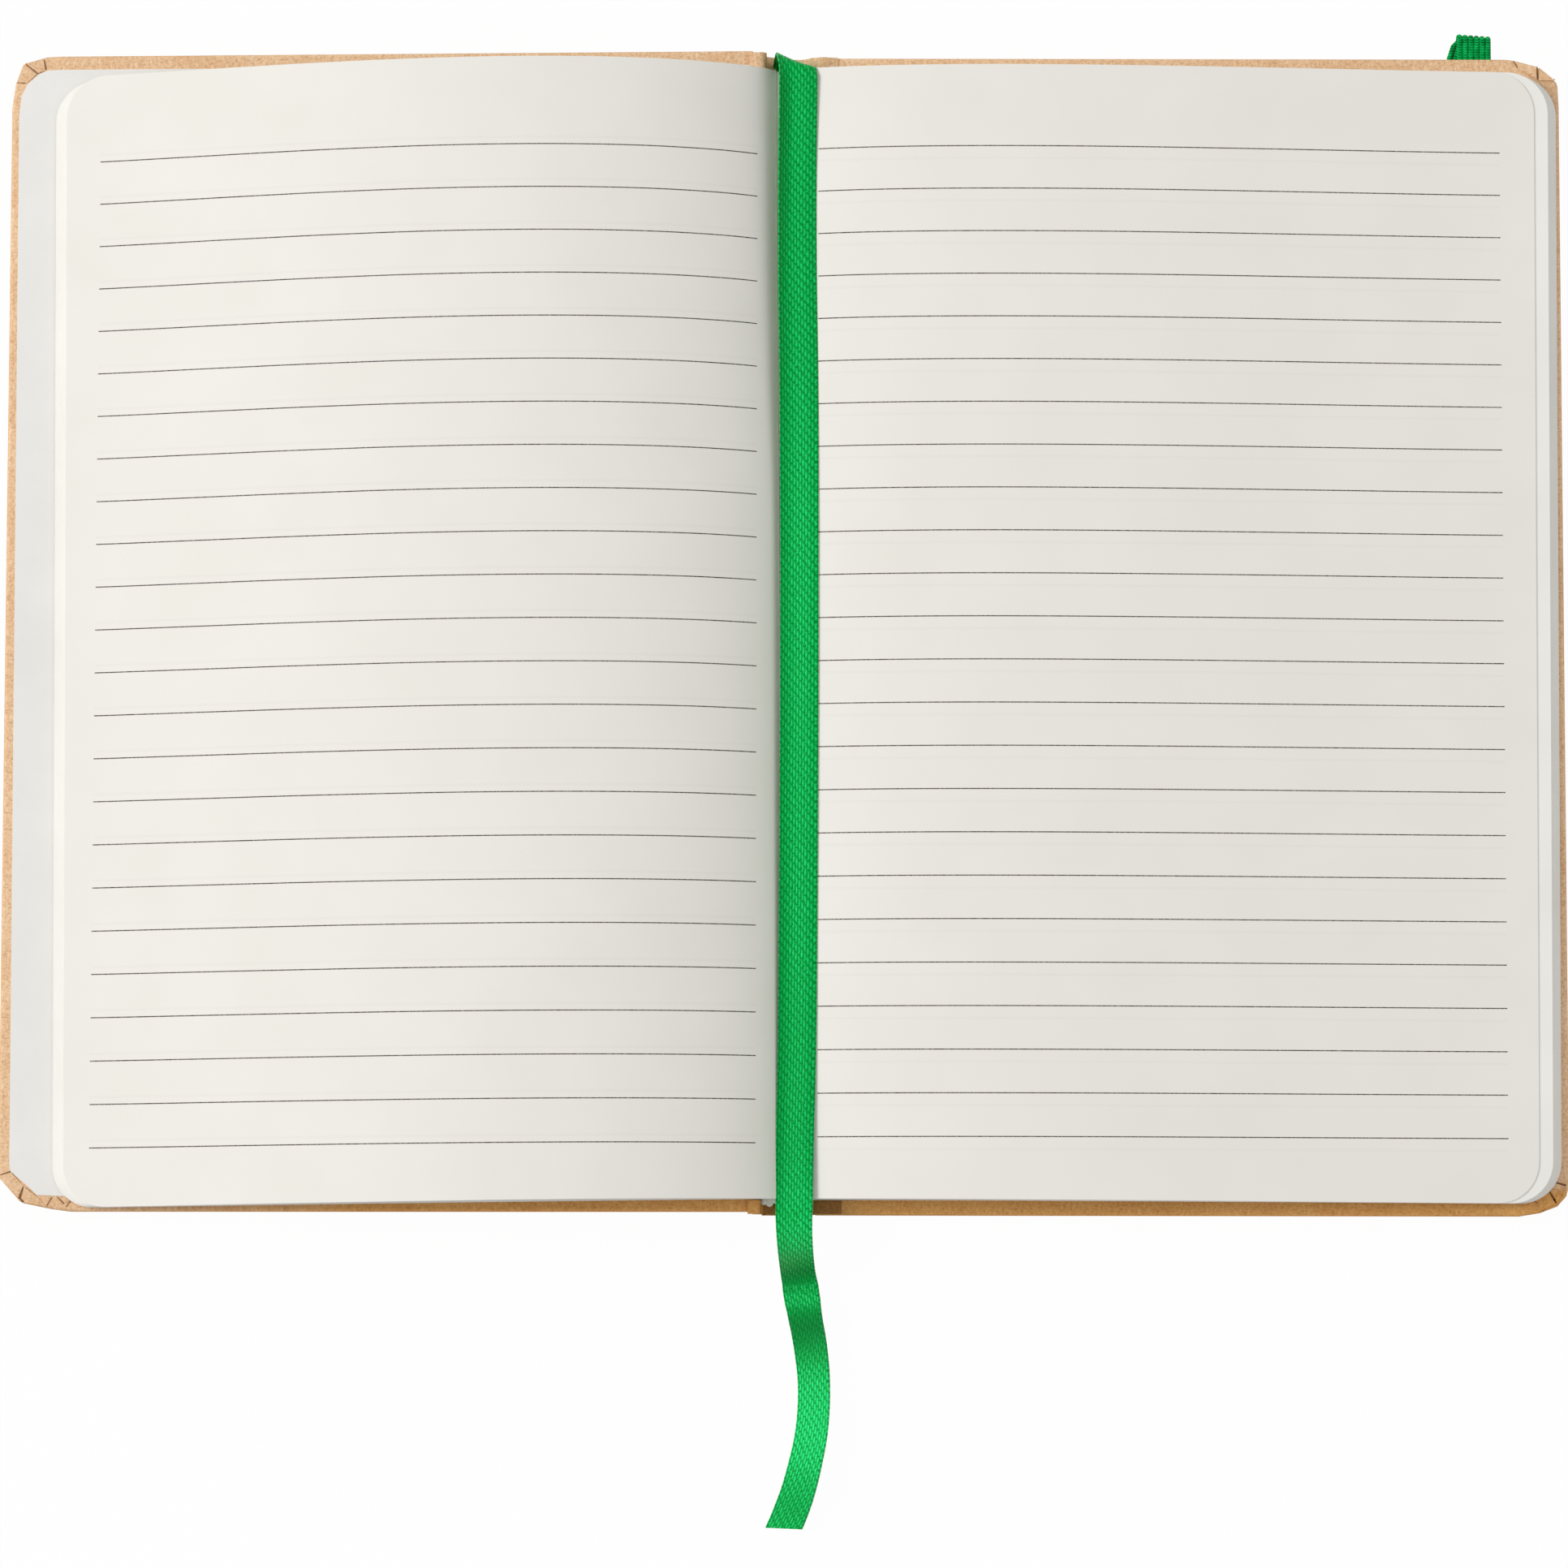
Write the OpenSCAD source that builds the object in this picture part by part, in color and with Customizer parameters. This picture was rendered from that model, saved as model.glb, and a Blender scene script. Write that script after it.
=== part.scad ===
// An open hardcover notebook lying on its back: kraft covers, ruled leaves that arch up from the gutter,
// a ribbon bookmark down the gutter and an elastic closing band folded under the back cover.
// X runs from the front cover to the back cover, Y from foot to head and Z up from the table.

/* [Covers] */
// Height of the covers, head to foot
cover_h = 210; // [150:1:300]
// Width of each cover from its hinge edge to its fore edge
cover_w = 135.4; // [100:0.2:180]
// Thickness of the grey board in each cover
board_t = 2; // [1.4:0.1:3]
// Thickness of the kraft paper over the boards
kraft_t = 0.25; // [0.15:0.05:0.4]
// Radius of the fore corners of the covers
cover_r = 8.5; // [5:0.5:14]
// Width of the kraft that is turned in over the inner faces
turn_in = 8.5; // [6:0.5:16]
// Number of pleats gathered round each corner
pleats = 3; // [1:1:4]
// Height of a pleat above the turned-in kraft
pleat_t = 0.18; // [0.1:0.02:0.3]
// Thickness of the endpaper pasted inside each cover
endpaper_t = 0.2; // [0.1:0.05:0.4]
// Kraft left showing beside the endpaper at the fore edge
endpaper_fore = 1.5; // [0.8:0.1:4]
// Kraft left showing beside the endpaper at head and foot
endpaper_ends = 2.7; // [1:0.1:4]
// Radius of the endpaper's fore corners
endpaper_r = 8; // [4:0.5:14]

/* [Open position] */
// Height of the front cover's hinge edge above the table
front_rise = 6.2; // [4:0.1:9]
// How much nearer to the head the front cover lies than the back cover
front_shift = 0.5; // [0:0.1:1]
// Distance from the middle of the spine to the front cover's hinge edge
front_hinge_x = 6; // [5.5:0.1:9]
// Distance from the middle of the spine to the back cover's hinge edge
back_hinge_x = 4.6; // [4.2:0.1:8]

/* [Spine] */
// Width of the spine board
spine_w = 8; // [6:0.1:8.6]
// Thickness of the spine board
spine_t = 1.6; // [1:0.1:2]
// Lean of the spine board, its front edge up
spine_lean = 12; // [6:0.5:16]
// Thickness of the lining glued to the back of the leaves
lining_t = 0.3; // [0.2:0.05:0.5]
// Distance from the lining's ends to the head and foot of the leaves
lining_in = 4; // [1:0.5:10]
// Width of the glued back of the leaves
glued_w = 8; // [6:0.1:8.4]

/* [Leaves] */
// Cover left showing above the leaves at the head
head_square = 3.3; // [2:0.1:6]
// Cover left showing below the leaves at the foot
foot_square = 2.1; // [1.5:0.1:6]
// Cover left showing beside the front leaves at the fore edge
front_square = 9; // [6:0.1:14]
// Cover left showing beside the back leaves at the fore edge
back_square = 1.7; // [1:0.1:6]
// Radius of the leaves' fore corners
leaf_r = 7.5; // [4:0.5:14]
// Number of bunches that the leaves of one side part into
bunches = 6; // [3:1:7]
// Thickness of one bunch of leaves
bunch_t = 0.5; // [0.3:0.05:0.55]
// Least gap between two bunches
bunch_gap = 0.06; // [0.04:0.01:0.1]
// Step from the lowest to the highest front bunch at the fore edge
front_fan = 2.4; // [1:0.1:5]
// Step from the lowest to the last but one back bunch at the fore edge
back_fan = 1.8; // [1:0.1:3.5]
// Step from the lowest to the uppermost back bunch at the fore edge
back_top_step = 4.4; // [2:0.1:6]
// Turn of the front leaves in plan, away from square
leaf_skew = 0.5; // [0:0.05:0.8]
// Height of the front leaves' arch over a straight line from gutter to fore edge
front_arch = 15.2; // [10:0.1:20]
// Height of the back leaves' arch over a straight line from gutter to fore edge
back_arch = 6.4; // [4:0.1:12]
// Height of the top leaf above the table in the gutter
gutter_z = 9; // [8.6:0.1:11]
// Height of the top front leaf above the table at the fore edge
front_fore_z = 6.9; // [6.9:0.1:9]
// Height of the top back leaf above the table at the fore edge
back_fore_z = 8.4; // [8.2:0.1:10]
// Height of the arch of the lowest front bunch over the cover
front_low_arch = 3; // [1:0.1:4]
// Height of the arch of the lowest back bunch over the cover
back_low_arch = 1.6; // [0.5:0.1:2.5]

/* [Closing band] */
// Number of ribs across the elastic band
ribs = 6; // [4:1:8]
// Diameter of one rib, which is the thickness of the band
rib_d = 0.95; // [0.7:0.05:1.3]
// Distance between the middles of two ribs
rib_pitch = 1.03; // [0.8:0.01:1.4]
// Distance from the back cover's fore edge to the middle of the band
band_inset = 15.1; // [11:0.1:25]
// Distance from the head and the foot to the slots that hold the band
band_slot_in = 13; // [10:0.5:25]
// How far the fold of the band reaches past the head
band_out = 5.3; // [2:0.1:10]

/* [Ribbon] */
// Width of the ribbon
ribbon_w = 7; // [4:0.5:8]
// Thickness of the ribbon
ribbon_t = 0.3; // [0.2:0.05:0.5]

/* [Hidden] */
$fn = 64;

kraft = "#d2a679";
grey_board = "#9b958a";
cream = "#ece9e1";
white_paper = "#e6e5df";
ribbon_green = "#0aa94c";
band_green = "#0a9c46";
lining_white = "#dcd9cf";

// Running clearances
seat = 0.05;
hinge_gap = 0.3;
leaf_rest = 0.15;
cut_over = 1;

// Covers: the back cover lies on the two layers of the folded band
cover_t = board_t + 2 * kraft_t;
back_rise = 2 * rib_d + 0.2;
front_tilt = asin(front_rise / cover_w);

// The leaves start from the gutter
gutter_x = -1.5;
front_reach = front_hinge_x + cover_w * cos(front_tilt) + gutter_x;
back_reach = back_hinge_x + cover_w - gutter_x;
front_leaf_end = front_reach - front_square;
back_leaf_end = back_reach - back_square;
front_span = front_leaf_end + 2;
back_span = back_leaf_end + 1;
root_reach = 9;
page_h = cover_h - head_square - foot_square;
page_y = (foot_square - head_square) / 2;
front_bend = [0.76, 1.4];
back_bend = [0.7, 1.65];
low_bend = [1, 1.2];
stations = 20;

// Spine
spine_foot_x = back_hinge_x - hinge_gap - 2 * kraft_t;
spine_case_w = spine_w + 2 * kraft_t;
spine_top_z = spine_case_w * sin(spine_lean) + (spine_t + 2 * kraft_t) * cos(spine_lean);
glued_z = spine_top_z + ribbon_t + lining_t + 2 * hinge_gap - 0.25;
front_wall_x = -front_hinge_x + 3 * hinge_gap;
back_wall_x = back_hinge_x - hinge_gap;

// Band
band_x = back_hinge_x + cover_w - band_inset;
band_low_z = rib_d / 2;
band_high_z = back_rise - rib_d / 2 - 0.02;
band_turn = (band_high_z - band_low_z) / 2;
band_fold_y = cover_h / 2 + band_out - band_turn - rib_d / 2;
band_slot_y = cover_h / 2 - band_slot_in;
band_w = (ribs - 1) * rib_pitch + rib_d;
slot_play = 0.15;

// The part's own origin is the middle of its footprint, the ribbon left out
shift_x = (front_hinge_x + cover_w * cos(front_tilt) - back_hinge_x - cover_w) / 2;
shift_y = -band_out / 2;

// The ribbon's way. Each row is X, Y, Z and roll, right edge up. It starts under the lining at the head,
// comes over the leaves into the gutter and lies on the table past the foot.
// Y of the first rows is taken from the leaves' head edge, Z from the lining's underside.
head_y = page_y + page_h / 2;
foot_y = page_y - page_h / 2;
under_lining_z = glued_z - lining_t - ribbon_t - hinge_gap;
ribbon_start = [
    [0.6, -8.7, 0, 0], [0.6, -3.7, 0, 0], [0.6, -0.3, 0, 0], [0.65, 0.9, 0.55, -4], [0.8, 1.25, 2.35, -12]
];
// Y from the head edge, Z from the leaves' gutter
ribbon_over_head = [
    [0.95, 1.35, -0.6, -14], [1.1, 1.3, 1.4, -13], [1.3, 0.95, 3, -5], [1.55, -0.6, 3.6, 3], [1.6, -4.2, 3.3, 7]
];
// Y as a share of the leaves' height, Z from the gutter
ribbon_gutter = [
    [1.45, 0.41, 3, 6], [1.5, 0.325, 3, 5], [1.8, 0.225, 2.8, 10], [1.95, 0.12, 2.5, 18], [2, 0, 2.45, 20],
    [1.95, -0.135, 2.45, 20], [1.85, -0.25, 2.4, 20], [1.7, -0.36, 2.4, 21], [1.4, -0.437, 2.5, 23], [1.3, -0.481, 2.6, 24]
];
// Y from the foot edge, Z from the gutter
ribbon_over_foot = [
    [1.25, -0.1, 2.6, 24], [1.25, -3.1, 1.9, 25], [1.35, -5.9, 0.6, 26], [1.55, -8.5, -1.4, 26], [1.8, -10.7, -4, 26]
];
// Y from the foot edge, Z from the table
ribbon_tail = [
    [2.05, -12.5, 3, 26], [2.4, -14.5, 2.2, 27], [2.7, -16.5, 2.9, 28], [3, -18.3, 3.4, 29],
    [3.4, -20.7, 3, 31], [3.9, -23.3, 2.4, 33], [4.4, -26.5, 2.3, 35], [4.85, -31.1, 2.7, 37],
    [4.85, -36.1, 3.2, 37], [4.4, -41.1, 3.7, 36], [3.4, -46.1, 3.9, 35], [2.1, -51.1, 3.3, 34],
    [0.6, -55.3, 2.6, 33], [-0.6, -58.1, 2.3, 33]
];
ribbon_way = concat(
    [for (p = ribbon_start) [p[0], head_y + p[1], under_lining_z + p[2], p[3]]],
    [for (p = ribbon_over_head) [p[0], head_y + p[1], gutter_z + p[2], p[3]]],
    [for (p = ribbon_gutter) [p[0], page_y + p[1] * page_h, gutter_z + p[2], p[3]]],
    [for (p = ribbon_over_foot) [p[0], foot_y + p[1], gutter_z + p[2], p[3]]],
    [for (p = ribbon_tail) [p[0], foot_y + p[1], p[2], p[3]]]
);
ring_points = [[-0.5, 0], [-0.47, -0.42], [0, -0.5], [0.47, -0.42], [0.5, 0], [0.47, 0.42], [0, 0.5], [-0.47, 0.42]];

function mix(a, b, s) = a + (b - a) * s;
function clamp01(s) = min(1, max(0, s));

// A bow that is 0 at both ends and 1 at its highest point
function bow(s, bend) = s <= 0 || s >= 1 ? 0
    : pow(s, bend[0]) * pow(1 - s, bend[1])
        / (pow(bend[0] / (bend[0] + bend[1]), bend[0]) * pow(bend[1] / (bend[0] + bend[1]), bend[1]));

// Heights of the top leaf and of the lowest bunch, u mm out from the gutter
function front_top(u) = mix(gutter_z, front_fore_z, clamp01(u / front_span))
    + front_arch * bow(u / front_span, front_bend);
function back_top(u) = mix(gutter_z, back_fore_z, clamp01(u / back_span))
    + back_arch * bow(u / back_span, back_bend);
function front_face(u) = front_rise + (cover_t + endpaper_t) / cos(front_tilt)
    - (u - gutter_x - front_hinge_x) * tan(front_tilt);
function back_face(u) = back_rise + cover_t + endpaper_t;
function front_low(u) = front_face(u) + leaf_rest + front_low_arch * bow(u / front_span, low_bend);
function back_low(u) = back_face(u) + leaf_rest + back_low_arch * bow(u / back_span, low_bend);
function top_of(front, u) = front ? front_top(u) : back_top(u);
function low_of(front, u) = front ? front_low(u) : back_low(u);

// One bunch of leaves, the lowest is 0: its thickness shrinks where the leaves are pressed together
function room(front, u) = top_of(front, u) - low_of(front, u);
function bunch_thick(front, u) = min(bunch_t, (room(front, u) - (bunches - 1) * bunch_gap) / bunches);
function bunch_step(front, u) = (room(front, u) - bunch_thick(front, u)) / (bunches - 1);
function bunch_base(front, u, i) = low_of(front, u) + i * bunch_step(front, u);
function bunch_end(front, i) = front
    ? front_leaf_end - front_fan * i / (bunches - 1)
    : back_leaf_end - (i == bunches - 1 ? back_top_step : back_fan * i / (bunches - 2));
function station(k, from, to) = mix(from, to, pow(k / stations, 1.4));

module in_frame() {
    translate([shift_x, shift_y, 0]) children();
}

// Puts a cover, drawn from its hinge edge outwards along X with its outer face down, in its place
module front_place() {
    in_frame() translate([-front_hinge_x, front_shift, front_rise]) rotate([0, -front_tilt, 0])
        mirror([1, 0, 0]) children();
}

module back_place() {
    in_frame() translate([back_hinge_x, 0, back_rise]) children();
}

// A section drawn in X and Z, drawn out along Y
module along_y(from, to) {
    translate([0, to, 0]) rotate([90, 0, 0]) linear_extrude(to - from) children();
}

// Outline of a sheet with square hinge corners and round fore corners
module sheet_outline(from, to, low, high, r) {
    translate([from, low]) square([to - from - r, high - low]);
    translate([from, low + r]) square([to - from, high - low - 2 * r]);
    for (y = [low + r, high - r]) translate([to - r, y]) circle(r);
}

module cover_outline(inset) {
    sheet_outline(inset, cover_w - inset, -cover_h / 2 + inset, cover_h / 2 - inset, cover_r - inset);
}

module endpaper_outline(grow) {
    sheet_outline(0.2 - grow, cover_w - endpaper_fore + grow, -cover_h / 2 + endpaper_ends - grow,
        cover_h / 2 - endpaper_ends + grow, endpaper_r + grow);
}

module window_outline(inset) {
    translate([kraft_t + inset, -cover_h / 2 + turn_in + inset])
        square([cover_w - turn_in - kraft_t - 2 * inset, cover_h - 2 * turn_in - 2 * inset]);
}

// Folded pleats of the turned-in kraft, spread round a fore corner, beside the endpaper
module corner_pleats() {
    for (side = [-1, 1]) linear_extrude(pleat_t) difference() {
        for (k = [0 : pleats - 1])
            translate([cover_w - cover_r, side * (cover_h / 2 - cover_r)])
                rotate(side * (90 * (k + 0.5) / pleats))
                    polygon([[0, -0.3], [cover_r - 0.5, -1.1], [cover_r - 0.3, 0.5], [0, 0.5]]);
        endpaper_outline(seat);
    }
}

module cover_wrap() {
    difference() {
        linear_extrude(cover_t) cover_outline(0);
        translate([0, 0, kraft_t]) linear_extrude(board_t) cover_outline(kraft_t);
        translate([0, 0, kraft_t + board_t / 2]) linear_extrude(cover_t) window_outline(0);
    }
    translate([0, 0, cover_t]) corner_pleats();
}

module cover_board() {
    translate([0, 0, kraft_t]) linear_extrude(board_t) cover_outline(kraft_t + seat);
}

module cover_endpaper() {
    translate([0, 0, cover_t]) linear_extrude(endpaper_t) endpaper_outline(0);
    translate([0, 0, kraft_t + board_t]) linear_extrude(kraft_t + endpaper_t) window_outline(seat);
}

module front_board() {
    color(grey_board) front_place() cover_board();
}

module front_cover_wrap() {
    color(kraft) front_place() cover_wrap();
}

module front_endpaper() {
    color(white_paper) front_place() cover_endpaper();
}

module slotted() {
    difference() {
        children();
        for (y = [-band_slot_y, band_slot_y])
            translate([band_x - back_hinge_x - band_w / 2 - slot_play, y - rib_d / 2 - slot_play, -cut_over])
                cube([band_w + 2 * slot_play, rib_d + 2 * slot_play, cut_over + kraft_t + board_t]);
    }
}

module back_board() {
    color(grey_board) back_place() slotted() cover_board();
}

module back_cover_wrap() {
    color(kraft) back_place() slotted() cover_wrap();
}

module back_endpaper() {
    color(white_paper) back_place() cover_endpaper();
}

// The case spine leans with its front edge up: its own frame has X towards the front, from the low edge
module spine_place() {
    in_frame() translate([spine_foot_x, 0, 0]) rotate([0, spine_lean, 0]) mirror([1, 0, 0]) children();
}

module spine_board() {
    color(grey_board) spine_place()
        translate([kraft_t, -cover_h / 2 + kraft_t + seat, kraft_t])
            cube([spine_w, cover_h - 2 * kraft_t - 2 * seat, spine_t]);
}

// Kraft over the spine board: one skin outside with its hinge strips, turned in over the ends
module spine_wrap() {
    low_out = [spine_foot_x, 0];
    high_out = [spine_foot_x - spine_case_w * cos(spine_lean), spine_case_w * sin(spine_lean)];
    up = [kraft_t * sin(spine_lean), kraft_t * cos(spine_lean)];
    along = [kraft_t * cos(spine_lean), -kraft_t * sin(spine_lean)];
    front_top_z = front_rise - hinge_gap;
    back_top_z = back_rise - hinge_gap;
    color(kraft) in_frame() {
        along_y(-cover_h / 2, cover_h / 2) polygon([
            low_out, [back_wall_x, back_top_z], [back_wall_x - kraft_t, back_top_z],
            low_out + up - along, high_out + up + along,
            [high_out[0] + kraft_t, front_top_z], [high_out[0], front_top_z], high_out
        ]);
        for (end = [-1, 1]) along_y(end * (cover_h / 2 - kraft_t / 2) - kraft_t / 2,
            end * (cover_h / 2 - kraft_t / 2) + kraft_t / 2)
            translate([spine_foot_x, 0]) rotate(-spine_lean)
                translate([-spine_case_w + kraft_t, kraft_t / 2]) square([spine_w, spine_t + 1.5 * kraft_t]);
        for (end = [0, 1]) along_y(end ? cover_h / 2 - turn_in : -cover_h / 2,
            end ? cover_h / 2 : -cover_h / 2 + turn_in)
            translate([spine_foot_x, 0]) rotate(-spine_lean)
                translate([-spine_case_w + kraft_t, kraft_t + spine_t]) square([spine_w, kraft_t]);
    }
}

module spine_lining() {
    color(lining_white) in_frame()
        translate([back_wall_x - glued_w - seat, page_y - page_h / 2 + lining_in, glued_z - lining_t])
            cube([glued_w, page_h - 2 * lining_in, lining_t]);
}

// The glued root of the leaves, from the first bunches of one side to those of the other
module leaf_root() {
    top_front = [for (k = [0 : 8]) let (u = root_reach * (1 - k / 8)) [gutter_x - u, front_top(u)]];
    top_back = [for (k = [1 : 8]) let (u = root_reach * k / 8) [gutter_x + u, back_top(u)]];
    back_wall_u = back_wall_x - gutter_x;
    front_wall_u = gutter_x - front_wall_x;
    under_back = [for (k = [0 : 3]) let (u = mix(root_reach, back_wall_u, k / 3)) [gutter_x + u, back_low(u)]];
    under_front = [for (k = [0 : 3]) let (u = mix(front_wall_u, root_reach, k / 3)) [gutter_x - u, front_low(u)]];
    along_y(page_y - page_h / 2, page_y + page_h / 2) polygon(concat(
        top_front, top_back, under_back,
        [[back_wall_x, glued_z], [back_wall_x - glued_w - 2 * seat, glued_z]],
        under_front));
}

// One bunch of leaves: its bowed section drawn out along Y and cut to the leaf's outline
module leaf_bunch(front, i) {
    to = front ? front_span : back_span;
    lower = [for (k = [0 : stations]) let (u = station(k, root_reach - 1, to)) [u, bunch_base(front, u, i)]];
    upper = [for (k = [stations : -1 : 0]) let (u = station(k, root_reach - 1, to))
        [u, bunch_base(front, u, i) + bunch_thick(front, u)]];
    translate([gutter_x, 0, 0]) mirror([front ? 1 : 0, 0, 0]) intersection() {
        along_y(-cover_h, cover_h) polygon(concat(lower, upper));
        rotate(front ? -leaf_skew : 0) linear_extrude(cover_h)
            sheet_outline(0, bunch_end(front, i), page_y - page_h / 2, page_y + page_h / 2, leaf_r);
    }
}

module text_block() {
    color(cream) in_frame() {
        leaf_root();
        for (front = [true, false]) for (i = [0 : bunches - 1]) leaf_bunch(front, i);
    }
}

// Section of the band: round ribs on a thin web, X away from the middle of a turn and Y across the band
module band_section(from_axis) {
    for (k = [0 : ribs - 1])
        translate([from_axis, (k - (ribs - 1) / 2) * rib_pitch]) circle(d = rib_d, $fn = 24);
    translate([from_axis - rib_d / 4, -(band_w - rib_d) / 2]) square([rib_d / 2, band_w - rib_d]);
}

// A straight run of the band along Y and a turn of it round an axis along X
module band_run(from, to, z) {
    translate([0, to, z]) rotate([90, 0, 0]) linear_extrude(to - from) rotate(90) band_section(0);
}

module band_bend(y, z, from, sweep, radius) {
    translate([0, y, z]) rotate([0, -90, 0]) rotate([0, 0, from]) rotate_extrude(angle = sweep)
        band_section(radius);
}

module band_rise(y, z, top) {
    translate([0, y, z]) linear_extrude(top - z) rotate(90) band_section(0);
}

// The band comes out of the head slot, folds over past the head and lies under the cover to the foot slot
module elastic_band() {
    end_z = back_rise + kraft_t + board_t - seat;
    bend = rib_d / 2 + 0.1;
    low_bend_z = band_low_z + bend;
    color(band_green) in_frame() translate([band_x, 0, 0]) {
        band_rise(band_slot_y, band_high_z + bend, end_z);
        band_bend(band_slot_y + bend, band_high_z + bend, 180, 90, bend);
        band_run(band_slot_y + bend, band_fold_y, band_high_z);
        band_bend(band_fold_y, (band_low_z + band_high_z) / 2, 0, 180, band_turn);
        band_run(-band_slot_y + bend, band_fold_y, band_low_z);
        band_bend(-band_slot_y + bend, low_bend_z, 180, 90, bend);
        band_rise(-band_slot_y, low_bend_z, end_z);
    }
}

// Ribbon: a flat ring of eight points at each point of its way, square to the way and rolled
function unit(v) = v / norm(v);
function way_point(k) = [ribbon_way[k][0], ribbon_way[k][1], ribbon_way[k][2]];
function way_dir(k) = unit(way_point(min(k + 1, len(ribbon_way) - 1)) - way_point(max(k - 1, 0)));
function way_side(k) = let (d = way_dir(k), flat = unit([1, 0, 0] - d * d[0]))
    flat * cos(ribbon_way[k][3]) + cross(flat, -d) * sin(ribbon_way[k][3]);
function way_ring(k) = let (side = way_side(k), up = cross(side, -way_dir(k)))
    [for (p = ring_points)
        way_point(k) + side * p[0] * ribbon_w + up * p[1] * ribbon_t];

module ribbon_bookmark() {
    rings = len(ribbon_way);
    points = [for (k = [0 : rings - 1]) each way_ring(k)];
    n = len(ring_points);
    sides = [for (k = [0 : rings - 2]) for (j = [0 : n - 1]) let (a = k * n + j, b = k * n + (j + 1) % n)
        each [[a, a + n, b + n], [a, b + n, b]]];
    ends = [for (j = [1 : n - 2]) each [[0, j, j + 1], [(rings - 1) * n, (rings - 1) * n + j + 1, (rings - 1) * n + j]]];
    color(ribbon_green) in_frame() polyhedron(points, concat(sides, ends), convexity = 6);
}

text_block();
spine_lining();
spine_board();
spine_wrap();
front_board();
front_cover_wrap();
front_endpaper();
back_board();
back_cover_wrap();
back_endpaper();
elastic_band();
ribbon_bookmark();
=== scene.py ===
"""Open hardcover notebook with kraft covers, ruled leaves, a ribbon bookmark and an elastic band.

Sizes below are in millimetres in the part's own frame: X from the front cover to the back cover,
Y from foot to head and Z up from the table. Everything is put into metres as it is made.
"""

import math

import bmesh
import bpy
from mathutils import Matrix, Vector


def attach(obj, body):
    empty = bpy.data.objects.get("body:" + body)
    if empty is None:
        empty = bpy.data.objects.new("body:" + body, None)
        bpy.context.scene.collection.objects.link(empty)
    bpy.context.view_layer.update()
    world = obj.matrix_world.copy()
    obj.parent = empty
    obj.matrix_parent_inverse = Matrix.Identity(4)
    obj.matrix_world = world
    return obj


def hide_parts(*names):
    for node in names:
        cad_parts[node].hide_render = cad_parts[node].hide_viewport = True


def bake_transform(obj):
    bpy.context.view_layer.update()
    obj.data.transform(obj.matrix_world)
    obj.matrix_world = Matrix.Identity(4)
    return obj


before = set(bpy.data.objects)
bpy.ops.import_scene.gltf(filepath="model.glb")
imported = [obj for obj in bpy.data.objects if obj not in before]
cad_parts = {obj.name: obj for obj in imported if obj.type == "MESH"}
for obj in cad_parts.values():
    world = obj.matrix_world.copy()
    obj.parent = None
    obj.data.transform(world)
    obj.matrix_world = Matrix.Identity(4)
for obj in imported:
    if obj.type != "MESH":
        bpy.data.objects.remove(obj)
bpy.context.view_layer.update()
bpy.ops.object.select_all(action="DESELECT")

MM = 0.001
SHIFT_X = 0.629
SHIFT_Y = -2.65
TURN = 6.283

CAMERA_SPOT = (-0.624, -134.55, 1135.89)
CAMERA_TILT = 5.4
CAMERA_ROLL = 0.092
CAMERA_LENS = 145.075


# Camera, nearly straight above the gutter

def add_camera():
    camera = bpy.data.objects.new("camera", bpy.data.cameras.new("camera"))
    bpy.context.scene.collection.objects.link(camera)
    x, y, z = CAMERA_SPOT
    camera.location = ((x + SHIFT_X) * MM, (y + SHIFT_Y) * MM, z * MM)
    tilt = Matrix.Rotation(math.radians(CAMERA_TILT), 3, "X")
    roll = Matrix.Rotation(math.radians(CAMERA_ROLL), 3, "Z")
    camera.rotation_euler = (tilt @ roll).to_euler()
    camera.data.sensor_width = 36
    camera.data.lens = CAMERA_LENS
    camera.data.clip_start = 0.05
    camera.data.clip_end = 20
    bpy.context.scene.camera = camera


add_camera()


# Small helpers for modelling

def deselect_all():
    if bpy.context.object and bpy.context.object.mode == "EDIT":
        bpy.ops.object.mode_set(mode="OBJECT")
    bpy.ops.object.select_all(action="DESELECT")


def edit(piece):
    deselect_all()
    bpy.context.view_layer.objects.active = piece
    piece.select_set(True)
    bpy.ops.object.mode_set(mode="EDIT")
    bpy.ops.mesh.select_all(action="DESELECT")


def done(piece):
    bpy.ops.object.mode_set(mode="OBJECT")
    return piece


def pick(piece, kind, test):
    """Selects the vertices, edges or faces whose middle passes the test, in millimetres."""
    bpy.ops.mesh.select_mode(type=kind)
    bpy.ops.mesh.select_all(action="DESELECT")
    shape = bmesh.from_edit_mesh(piece.data)
    if kind == "VERT":
        for v in shape.verts:
            v.select_set(test(v.co / MM))
    elif kind == "EDGE":
        for e in shape.edges:
            e.select_set(test((e.verts[0].co + e.verts[1].co) / 2 / MM))
    else:
        for f in shape.faces:
            f.select_set(test(f.calc_center_median() / MM))
    shape.select_flush_mode()
    bmesh.update_edit_mesh(piece.data)


def add_plane(name, low, high, z=0.0):
    """A flat rectangle from one corner to the other, placed in its mesh."""
    deselect_all()
    bpy.ops.mesh.primitive_plane_add(size=1)
    piece = bpy.context.object
    piece.name = name
    piece.data.name = name
    piece.scale = ((high[0] - low[0]) * MM, (high[1] - low[1]) * MM, 1)
    piece.location = ((low[0] + high[0]) / 2 * MM, (low[1] + high[1]) / 2 * MM, z * MM)
    bpy.ops.object.transform_apply(location=True, rotation=True, scale=True)
    return piece


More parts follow.
